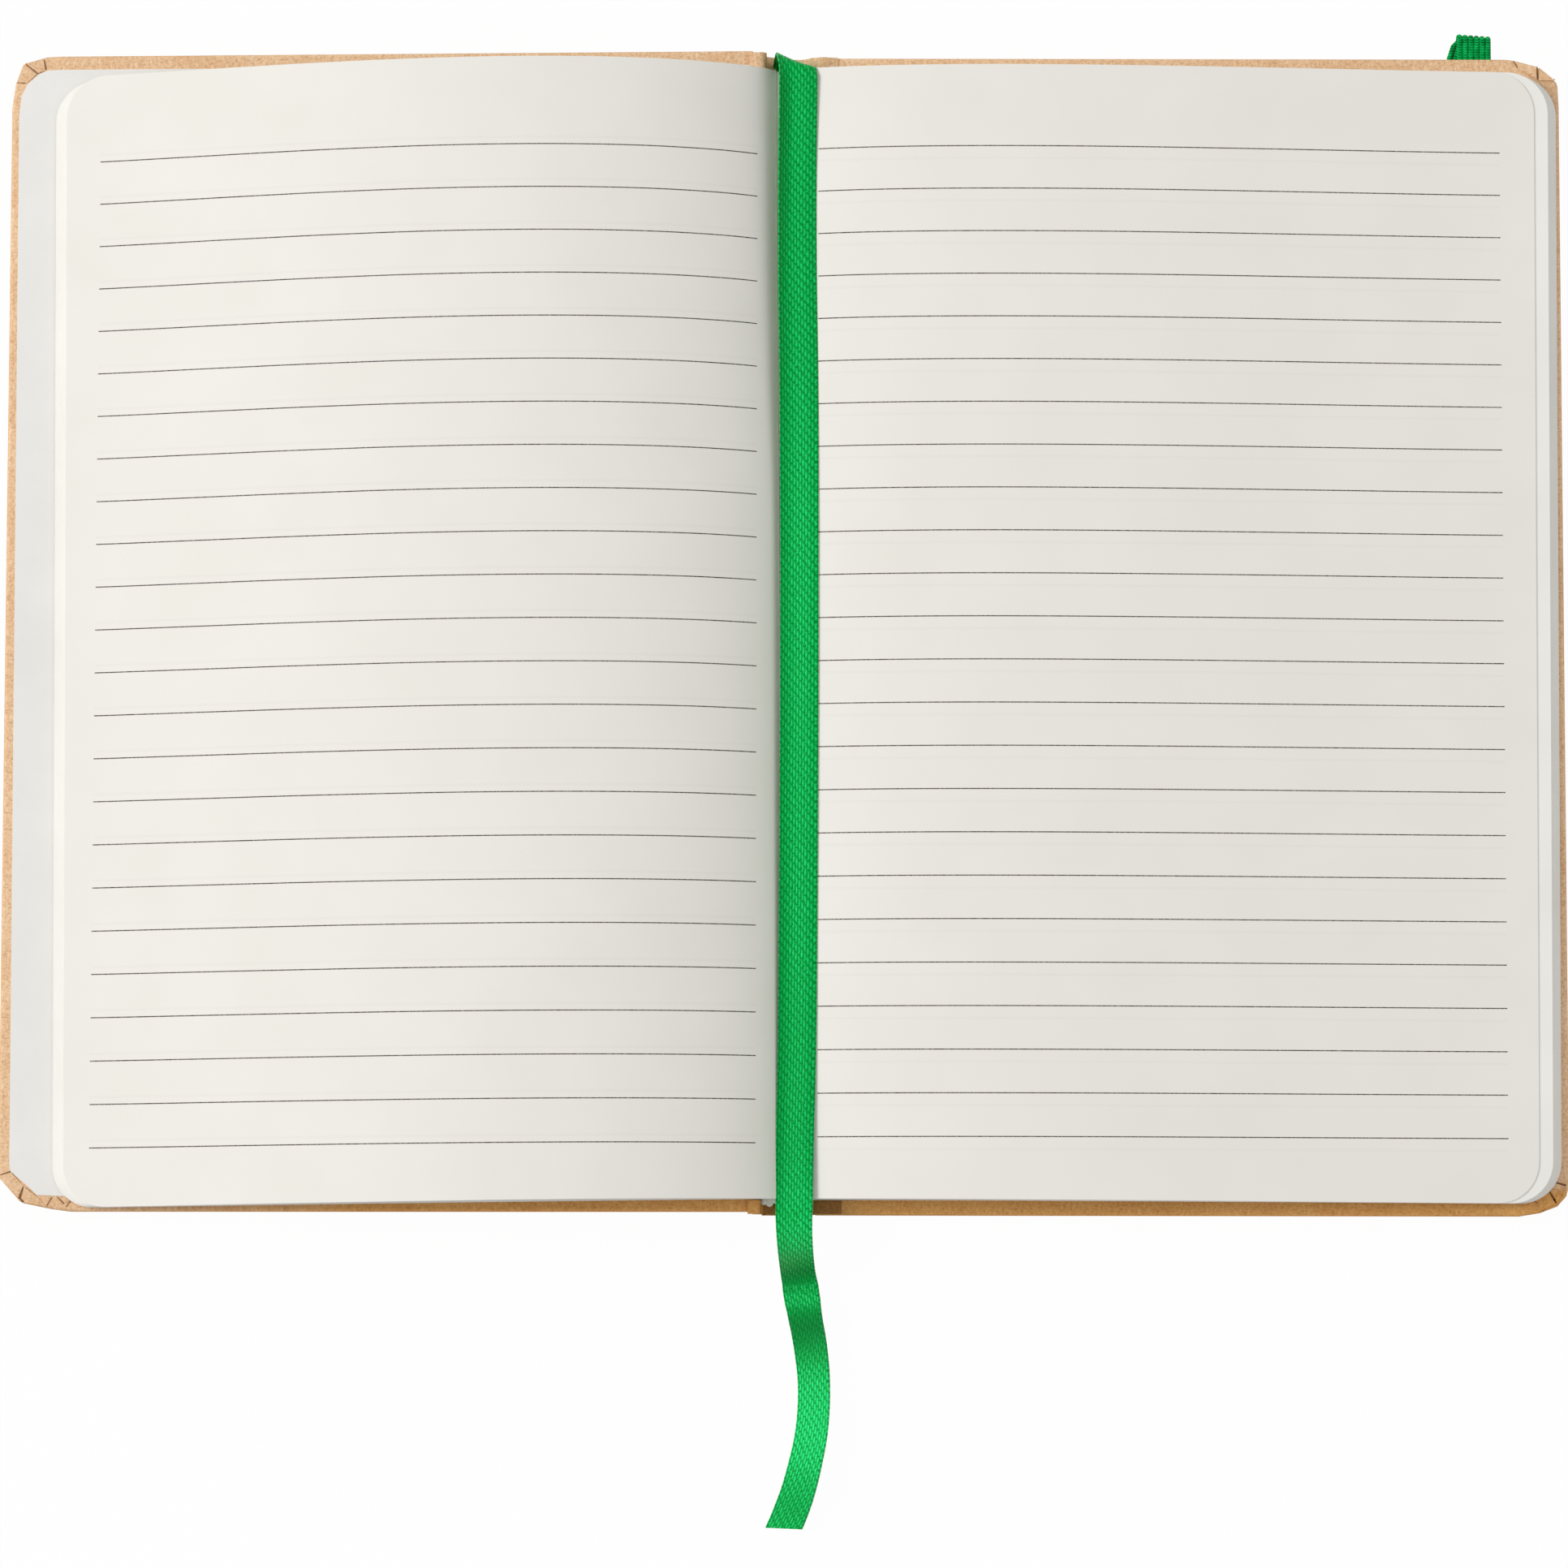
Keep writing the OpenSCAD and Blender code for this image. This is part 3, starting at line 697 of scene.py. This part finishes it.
def flat_leaf(name, length):
    sheet = add_plane(name, (0, PAGE_LOW), (length, PAGE_HIGH))
    edit(sheet)
    pick(sheet, "VERT", lambda p: p.x > 1 and p.y < 0)
    bpy.ops.transform.translate(value=(0, -0.6 * MM, 0))
    done(sheet)
    round_corners(sheet, length, 7.5)
    near = [0.3, 0.8, 1.6, 2.6, 4, 5.5, 7.5, 10, 13, 16, 20, 24]
    far = [24 + (length - 24) * k / 26 for k in range(1, 26)]
    cut_across(sheet, near + far)
    cut_across(sheet, [PAGE_LOW + (PAGE_HIGH - PAGE_LOW) * k / 8 for k in range(1, 8)], axis=1)
    return sheet


def bow_leaf(sheet, height):
    """Lifts each column of the sheet's points to its height."""
    edit(sheet)
    shape = bmesh.from_edit_mesh(sheet.data)
    columns = []
    for x in sorted(v.co.x / MM for v in shape.verts):
        if not columns or x - columns[-1] > 0.02:
            columns.append(x)
    for x in columns:
        pick(sheet, "VERT", lambda p: x - 0.001 < p.x < x + 0.021)
        bpy.ops.transform.translate(value=(0, 0, height(x) * MM))
    return done(sheet)


def leaf_heights(low, top, share):
    """The height of a leaf that lies at a share of the way from the lowest leaf to the top one."""
    return lambda u: low(u) + (top(u) - LEAF_T - low(u)) * share


def make_leaves(side):
    front = side == "front"
    end = FRONT_LEAF_END if front else BACK_LEAF_END
    low, top = (front_low, front_top) if front else (back_low, back_top)
    pattern = flat_leaf(side + "_leaf", end)
    made = []
    for i in range(LEAVES_A_SIDE):
        share = i / (LEAVES_A_SIDE - 1)
        if front:
            step = 2.4 * share
        elif i == LEAVES_A_SIDE - 1:
            step = 4.4
        else:
            step = 2.0 * share + (0.25 if i % 3 == 1 else 0)
        sheet = copy_of(pattern, side + "_leaf_%d" % i)
        sheet.data.transform(Matrix.Diagonal(((end - step) / end, 1, 1, 1)))
        bow_leaf(sheet, leaf_heights(low, top, share))
        thicken(sheet, LEAF_T, 1)
        made.append(sheet)
    bpy.data.objects.remove(pattern)
    mirror = Matrix.Diagonal((-1, 1, 1, 1)) if front else Matrix.Identity(4)
    turn = Matrix.Rotation(math.radians(LEAF_SKEW if front else 0), 4, "Z")
    if not front:
        turn[0][1] = 0.0045
    spot = moved(GUTTER_X + SHIFT_X, SHIFT_Y, 0) @ turn @ mirror
    for sheet in made:
        place(sheet, spot)
    top_leaf = made.pop()
    top_leaf.name = side + "_page"
    top_leaf.data.name = side + "_page"
    paint(top_leaf, LEFT_RULED if front else RIGHT_RULED)
    pile = join(made, side + "_leaves")
    paint(pile, LEAF_EDGES)
    for piece in (top_leaf, pile):
        smooth(piece, 40)
        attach(piece, "block")


make_leaves("front")
make_leaves("back")


def make_glued_root():
    """The glued back of the leaves, between the two sides."""
    root = add_plane("glued_root", (-4.3, PAGE_LOW + 0.1), (4.2, PAGE_HIGH - 0.1), 4.8)
    edit(root)
    bpy.ops.mesh.select_all(action="SELECT")
    bpy.ops.mesh.extrude_region_move(TRANSFORM_OT_translate={"value": (0, 0, 4.1 * MM)})
    pick(root, "VERT", lambda p: p.z > 8 and p.x < 0)
    bpy.ops.transform.translate(value=(0.6 * MM, 0, 0))
    bpy.ops.mesh.select_all(action="SELECT")
    bpy.ops.mesh.normals_make_consistent(inside=False)
    done(root)
    soften_edges(root, 0.5, 2)
    place(root, moved(SHIFT_X, SHIFT_Y, 0))
    paint(root, LEAF_EDGES)
    smooth(root)
    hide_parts("text_block")
    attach(root, "block")


make_glued_root()


# Covers: kraft turned in round a board, with pleats gathered at the fore corners, dark strips of painted
# shadow along their folds, and a pasted endpaper

FRONT_SPOT = (
    moved(FRONT_HINGE[0] + SHIFT_X, FRONT_SHIFT + SHIFT_Y, FRONT_HINGE[1])
    @ Matrix.Rotation(math.radians(-FRONT_TILT), 4, "Y")
    @ Matrix.Diagonal((-1, 1, 1, 1))
)
BACK_SPOT = moved(BACK_HINGE[0] + SHIFT_X, SHIFT_Y, BACK_HINGE[1])


# Corner points, fold lines where shadow is painted, and flaps are given as distances from the fore edge and
# from the head or foot edge

COVER_CORNERS = {
    ("front", 1): [(0, 9.5), (0.6, 5.1), (1.87, 1.5), (2.46, 1.2), (6.4, 0.1), (9, 0)],
    ("front", -1): [(0, 8.5), (0.3, 5.9), (3.94, 1.82), (4.67, 1.45), (9.6, 0.45), (13, 0)],
    ("back", 1): [(0, 9), (0.19, 5), (0.43, 4.2), (4, 1.25), (8.3, 0.16), (10, 0)],
    ("back", -1): [(0, 8), (0.1, 5.4), (0.6, 3.6), (2.2, 1.8), (5.3, 0.6), (9, 0)],
}
PAPER_CORNERS = {
    ("front", 1): [(1.4, 11.2), (1.8, 7.4), (2.9, 5.2), (4.9, 3.4), (6.6, 2.7), (10, 2.6)],
    ("front", -1): [(2.1, 8.5), (2.4, 7.1), (4.9, 5), (7.15, 2.95), (10, 2.8), (13.3, 2.7)],
    ("back", 1): [(1.5, 10.7), (1.9, 7.6), (3, 5.6), (5.1, 3.8), (7, 3), (9.5, 2.7)],
    ("back", -1): [(1.5, 10.7), (1.9, 7.6), (3, 5.6), (5.1, 3.8), (7, 3), (9.5, 2.7)],
}
FOLD_SHADOW_STRIPS = {
    ("front", 1): [(2.45, 1.4, 4.8, 3.2, 0.34), (5.8, 0.7, 6.15, 2.5, 0.26), (0.9, 4.9, 2.5, 5, 0.16)],
    ("front", -1): [(0.5, 6.5, 2.3, 7.1, 0.3), (4.6, 4.4, 3.95, 2.35, 0.36), (3.95, 2.45, 4.7, 1.65, 0.34),
                    (10.8, 2.6, 12, 1.4, 0.18), (8.9, 1, 9.8, 2.5, 0.12), (12.4, 0.8, 13.3, 2.1, 0.12)],
    ("back", 1): [(8.2, 0.4, 7.5, 1.6, 0.18), (3.95, 1.4, 3.85, 3.7, 0.26), (3.8, 3.8, 0.7, 3.8, 0.12)],
    ("back", -1): [(2.6, 6.1, 0.7, 5.55, 0.3), (3.7, 4.5, 2.5, 2.4, 0.34), (5, 0.95, 2.65, 3.1, 0.26),
                   (6.6, 2.9, 5.3, 2, 0.16)],
}
FLAPS = {
    ("front", 1): [((2.5, 1.4, 0.3), (4.8, 3.2, 0.3), (6.15, 2.6, 0.04), (5.8, 0.75, 0.04)),
                   ((0.95, 4.9, 0.04), (2.6, 5.1, 0.04), (4.5, 3.4, 0.14), (2.3, 1.6, 0.14))],
    ("front", -1): [((0.5, 6.4, 0.26), (2.4, 7, 0.26), (4.7, 4.5, 0.05), (3.9, 2.2, 0.05)),
                    ((4.85, 1.6, 0.3), (4.75, 4.4, 0.3), (7.1, 2.7, 0.12), (9, 0.85, 0.04))],
    ("back", 1): [((4.1, 1.45, 0.22), (4.05, 3.7, 0.22), (7.4, 1.8, 0.04), (8.1, 0.45, 0.04)),
                  ((0.75, 4, 0.18), (3.7, 4, 0.18), (3.6, 1.6, 0.05), (0.9, 3.8, 0.05))],
    ("back", -1): [((0.8, 5.3, 0.26), (2.7, 5.9, 0.26), (3.5, 4.5, 0.06), (2.3, 2.4, 0.06)),
                   ((2.7, 2.3, 0.3), (3.9, 4.4, 0.3), (6.7, 3.1, 0.05), (5.2, 1, 0.05))],
}


def shape_corner(piece, end, corner_points):
    """Moves the points of a rounded corner one by one, from the fore edge round to the end edge."""
    edit(piece)
    shape = bmesh.from_edit_mesh(piece.data)
    far_x = max(v.co.x for v in shape.verts) / MM
    far_y = max(v.co.y * end for v in shape.verts) / MM
    found = [v.co / MM for v in shape.verts if v.co.x / MM > far_x - 9 and v.co.y * end / MM > far_y - 9]
    found.sort(key=lambda p: (p.y * end - far_y) - (p.x - far_x))
    for point, (a, b) in zip(found, corner_points):
        target = Vector((COVER_W - a, end * (COVER_H / 2 - b), point.z))
        pick(piece, "VERT", lambda p: (p - point).length < 0.01)
        bpy.ops.transform.translate(value=(target - point) * MM)
    return done(piece)


def cover_outline(side, name, radius, corners):
    sheet = add_plane(name, (0, -COVER_H / 2), (COVER_W, COVER_H / 2))
    round_corners(sheet, COVER_W, radius, 5)
    for end in (1, -1):
        shape_corner(sheet, end, corners[(side, end)])
    return sheet


def extrude_up(piece, height):
    edit(piece)
    bpy.ops.mesh.select_all(action="SELECT")
    bpy.ops.mesh.extrude_region_move(TRANSFORM_OT_translate={"value": (0, 0, height * MM)})
    bpy.ops.mesh.select_all(action="SELECT")
    bpy.ops.mesh.normals_make_consistent(inside=False)
    return done(piece)


def corner_sheet(name, end, points, thickness):
    """A small sheet of four points near a corner, each with its height over the turned-in paper."""
    sheet = add_plane(name, (0, 0), (1, 1))
    edit(sheet)
    for (x, y), (a, b, h) in zip(((0, 0), (1, 0), (1, 1), (0, 1)), points):
        pick(sheet, "VERT", lambda p: abs(p.x - x) + abs(p.y - y) < 0.01)
        spot = Vector((COVER_W - a - x, end * (COVER_H / 2 - b) - y, COVER_T + h))
        bpy.ops.transform.translate(value=spot * MM)
    done(sheet)
    thicken(sheet, thickness, 0)
    edit(sheet)
    bpy.ops.mesh.select_all(action="SELECT")
    bpy.ops.mesh.normals_make_consistent(inside=False)
    return done(sheet)


def make_cover(side, spot):
    name = side + "_cover_paper"
    shell = cover_outline(side, name, COVER_R, COVER_CORNERS)
    board = copy_of(shell, side + "_pressed_board")
    board.data.transform(Matrix.Diagonal(((COVER_W - 0.5) / COVER_W, (COVER_H - 1) / COVER_H, 1, 1)))
    extrude_up(board, COVER_T - 0.7)
    place(board, spot @ moved(0, 0, 0.35))
    paint(board, BOARD)
    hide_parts(side + "_board")
    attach(board, side + "_cover")
    extrude_up(shell, COVER_T)
    soften_edges(shell, 0.7, 4, 60)
    pieces = [shell]
    for end in (1, -1):
        for points in FLAPS[(side, end)]:
            pieces.append(corner_sheet("flap", end, points, 0.08))
    cover = join(pieces, name)
    place(cover, spot)
    paint(cover, KRAFT)
    smooth(cover, 40)
    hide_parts(side + "_cover_wrap")
    # Thin dark strips laid just over the paper along the folds: painted shadow of the creases.
    lines = []
    for end in (1, -1):
        for a0, b0, a1, b1, width in FOLD_SHADOW_STRIPS[(side, end)]:
            across = Vector((b0 - b1, a1 - a0, 0)).normalized() * width / 2
            start = Vector((a0, b0, 0.07))
            stop = Vector((a1, b1, 0.07))
            points = [start - across * 0.5, stop - across, stop + across, start + across * 0.5]
            lines.append(corner_sheet("fold_shadow_strip", end, [tuple(p) for p in points], 0.1))
    fold_shadows = join(lines, side + "_fold_shadow_strips")
    place(fold_shadows, spot)
    paint(fold_shadows, PAINTED_FOLD_SHADOW)
    for piece in (cover, fold_shadows):
        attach(piece, side + "_cover")


def make_endpaper(side, spot):
    name = side + "_endpaper_sheet"
    sheet = cover_outline(side, name, 8, PAPER_CORNERS)
    edit(sheet)
    pick(sheet, "VERT", lambda p: p.x < 0.1)
    bpy.ops.transform.resize(value=(1, (COVER_H - 5.4) / COVER_H, 1))
    done(sheet)
    place(sheet, moved(0, 0, COVER_T + 0.16))
    thicken(sheet, 0.16, -1)
    place(sheet, spot)
    paint(sheet, ENDPAPER)
    smooth(sheet, 40)
    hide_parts(side + "_endpaper")
    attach(sheet, side + "_cover")


for side_name, side_spot in (("front", FRONT_SPOT), ("back", BACK_SPOT)):
    make_cover(side_name, side_spot)
    make_endpaper(side_name, side_spot)


# Kraft paper across the two hinges, and its turned-in layer that shows at the head and the foot

def profile_sheet(name, points, y_low, y_high, thickness=0.25):
    """A sheet drawn out edge by edge along a profile of X and Z."""
    (x0, z0), (x1, z1) = points[:2]
    sheet = add_plane(name, (x0, y_low), (x0 + 1, y_high), z0)
    edit(sheet)
    pick(sheet, "VERT", lambda p: p.x > x0 + 0.9)
    bpy.ops.transform.translate(value=((x1 - x0 - 1) * MM, 0, (z1 - z0) * MM))
    for (x1, z1), (x2, z2) in zip(points[1:], points[2:]):
        step = ((x2 - x1) * MM, 0, (z2 - z1) * MM)
        bpy.ops.mesh.extrude_region_move(TRANSFORM_OT_translate={"value": step})
    done(sheet)
    cut_across(sheet, [y_low + (y_high - y_low) * k / 6 for k in range(1, 6)], axis=1)
    return thicken(sheet, thickness, -1)


def make_hinge_paper(side, middle, head, foot, foot_edge):
    name = side + "_hinge_paper"
    paper = join([
        paint(profile_sheet(name, middle, -104.9, 104.9), KRAFT),
        paint(profile_sheet("head_turn_in", head, 101.9, 105.0), KRAFT),
        # The joint at the foot takes the kraft with painted shade, for the leaves' shadow over the recess.
        paint(profile_sheet("joint_at_foot", foot, -104.8, -102.4), KRAFT_SHADED),
        paint(profile_sheet("foot_turn_in", foot_edge, -104.9, -102.4), KRAFT),
    ], name)
    place(paper, moved(SHIFT_X, SHIFT_Y, 0))
    smooth(paper, 50)
    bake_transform(paper)


make_hinge_paper(
    "front",
    [(-4.45, 5.95), (-4.75, 5.75), (-5.2, 5.85), (-5.7, 6.1), (-6.15, 6.2)],
    [(-1.4, 3.75), (-2.4, 4.2), (-3.4, 4.75), (-4.2, 5.3), (-4.7, 5.95), (-4.95, 6.7), (-4.85, 7.3),
     (-4.5, 7.8), (-4.2, 8.3), (-4.3, 8.95), (-4.9, 9.3), (-5.7, 9.15), (-7, 8.95)],
    [(-1.4, 3.75), (-2.6, 3.95), (-3.8, 4.3), (-4.6, 5), (-4.95, 6), (-5, 7.2), (-4.95, 8)],
    [(-4.9, 7.9), (-4.95, 8.4), (-5.15, 8.75), (-5.7, 8.95), (-7, 8.95)],
)
make_hinge_paper(
    "back",
    [(4.15, 1.6), (4.35, 1.65), (4.7, 1.95), (5, 2.08)],
    [(1.2, 2.85), (2.4, 2.8), (3.2, 3.3), (4.1, 4.35), (4.9, 4.85), (5.7, 5.15), (6.4, 5.3), (7.1, 5.1),
     (7.9, 4.85), (9, 4.75)],
    [(1.2, 2.85), (2.6, 2.75), (3.8, 3), (4.5, 3.7), (4.8, 4.4), (5.2, 4.75), (6.5, 4.76), (10, 4.72)],
    [(9.8, 4.76), (10.6, 4.8), (12, 4.72)],
)


def make_glue_scrap():
    """Dried glue that stands out of the leaves' back at the foot."""
    drops = (
        (-4.1, -102.5, (0.7, 0.8, 0.4)),
        (-3.1, -102.6, (0.8, 1.0, 0.35)),
        (-2.2, -102.4, (0.7, 0.6, 0.3)),
    )
    scraps = []
    for x, y, size in drops:
        deselect_all()
        bpy.ops.mesh.primitive_uv_sphere_add(segments=10, ring_count=6, radius=1 * MM)
        scrap = bpy.context.object
        scrap.scale = size
        scrap.location = (x * MM, y * MM, 7.2 * MM)
        bpy.ops.object.transform_apply(location=True, rotation=True, scale=True)
        scraps.append(scrap)
    scrap = join(scraps, "glue_scrap")
    place(scrap, moved(SHIFT_X, SHIFT_Y, 0))
    paint(scrap, LEAF_EDGES)
    smooth(scrap, 60)
    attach(scrap, "block")


make_glue_scrap()


# Elastic band: one rib drawn out along its way, then copied side by side

BAND_X = BACK_HINGE[0] + COVER_W - 15.1
BAND_R = 0.475
BAND_RIBS = 6
RIB_PITCH = 1.03


def make_band():
    low_z = BAND_R
    high_z = 1.605
    turn = (high_z - low_z) / 2
    fold_y = 105 + 5.3 - turn - BAND_R
    slot_y = 92.0
    bend = 0.575
    end_z = 4.3
    deselect_all()
    bpy.ops.mesh.primitive_circle_add(vertices=14, radius=BAND_R * MM, fill_type="NGON",
                                      location=(0, slot_y * MM, end_z * MM))
    rib = bpy.context.object
    rib.scale.x = 1.13
    bpy.ops.object.transform_apply(location=True, rotation=True, scale=True)
    edit(rib)
    bpy.ops.mesh.select_all(action="SELECT")
    bpy.ops.mesh.extrude_region_move(TRANSFORM_OT_translate={"value": (0, 0, (high_z + bend - end_z) * MM)})

    def spin(y, z, angle, steps):
        bpy.ops.mesh.spin(steps=steps, angle=math.radians(angle), center=(0, y * MM, z * MM), axis=(1, 0, 0))

    def draw(dy, parts, dx=0):
        for _ in range(parts):
            step = (dx / parts * MM, dy / parts * MM, 0)
            bpy.ops.mesh.extrude_region_move(TRANSFORM_OT_translate={"value": step})

    spin(slot_y + bend, high_z + bend, -90, 4)
    draw(fold_y - slot_y - bend, 3)
    spin(fold_y, (low_z + high_z) / 2, 180, 10)
    draw(-0.9, 2, -0.9)
    draw(106.9 - fold_y, 3, -0.8)
    draw(-(106.0 + slot_y - bend), 12, 1.7)
    spin(-slot_y + bend, low_z + bend, 90, 4)
    bpy.ops.mesh.extrude_region_move(TRANSFORM_OT_translate={"value": (0, 0, (end_z - low_z - bend) * MM)})
    bpy.ops.mesh.select_all(action="SELECT")
    bpy.ops.mesh.remove_doubles(threshold=0.00002)
    bpy.ops.mesh.normals_make_consistent(inside=False)
    done(rib)
    ribs = []
    for k in range(BAND_RIBS):
        twin = copy_of(rib, "rib")
        aside = (k - (BAND_RIBS - 1) / 2) * RIB_PITCH
        place(twin, moved(BAND_X + SHIFT_X + aside, SHIFT_Y - 0.08 * k, 0))
        ribs.append(twin)
    bpy.data.objects.remove(rib)
    band = join(ribs, "elastic_band_ribs")
    paint(band, ELASTIC)
    smooth(band, 60)
    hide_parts("elastic_band")
    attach(band, "back_cover")


make_band()


# The solids that keep their own shape, and their finish

for name, material in (
    ("spine_wrap", KRAFT),
    ("spine_board", BOARD),
    ("spine_lining", LINING),
):
    paint(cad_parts[name], material)


# Table, lamps and background

def make_table():
    deselect_all()
    bpy.ops.mesh.primitive_plane_add(size=6, location=(0, 0, -0.0002))
    floor = bpy.context.object
    floor.name = "table_top"
    material, tree, shader = new_material("white_table")
    shader.inputs["Base Color"].default_value = (0.9, 0.9, 0.9, 1)
    shader.inputs["Roughness"].default_value = 0.9
    shader.inputs["Specular IOR Level"].default_value = 0.0
    output = tree.nodes["Material Output"]
    white = node(tree, "ShaderNodeEmission")
    white.inputs["Color"].default_value = (1, 1, 1, 1)
    white.inputs["Strength"].default_value = 1.0
    paths = node(tree, "ShaderNodeLightPath")
    seen = math_node(tree, "MAXIMUM", paths.outputs["Is Camera Ray"], paths.outputs["Is Glossy Ray"])
    seen = math_node(tree, "MULTIPLY", seen, 0.97)
    both = node(tree, "ShaderNodeMixShader")
    tree.links.new(seen, both.inputs[0])
    tree.links.new(shader.outputs[0], both.inputs[1])
    tree.links.new(white.outputs[0], both.inputs[2])
    tree.links.new(both.outputs[0], output.inputs[0])
    paint(floor, material)


def add_lamp(name, spot, aim, size, watts):
    data = bpy.data.lights.new(name, "AREA")
    data.shape = "RECTANGLE"
    data.size = size[0]
    data.size_y = size[1]
    data.energy = watts
    lamp = bpy.data.objects.new(name, data)
    bpy.context.scene.collection.objects.link(lamp)
    lamp.location = spot
    lamp.rotation_euler = (Vector(aim) - Vector(spot)).to_track_quat("-Z", "Y").to_euler()


def make_light():
    world = bpy.data.worlds.new("soft_room")
    bpy.context.scene.world = world
    world.use_nodes = True
    world.node_tree.nodes["Background"].inputs["Color"].default_value = (1, 1, 1, 1)
    world.node_tree.nodes["Background"].inputs["Strength"].default_value = 0.53
    add_lamp("window", (-2.2, 0.55, 1.75), (0, 0, 0), (1.1, 1.1), 45)
    add_lamp("reflector", (2.2, 0.2, 1.1), (0, 0, 0), (2.0, 2.0), 8)
    bpy.context.scene.view_settings.view_transform = "Standard"


make_table()
make_light()
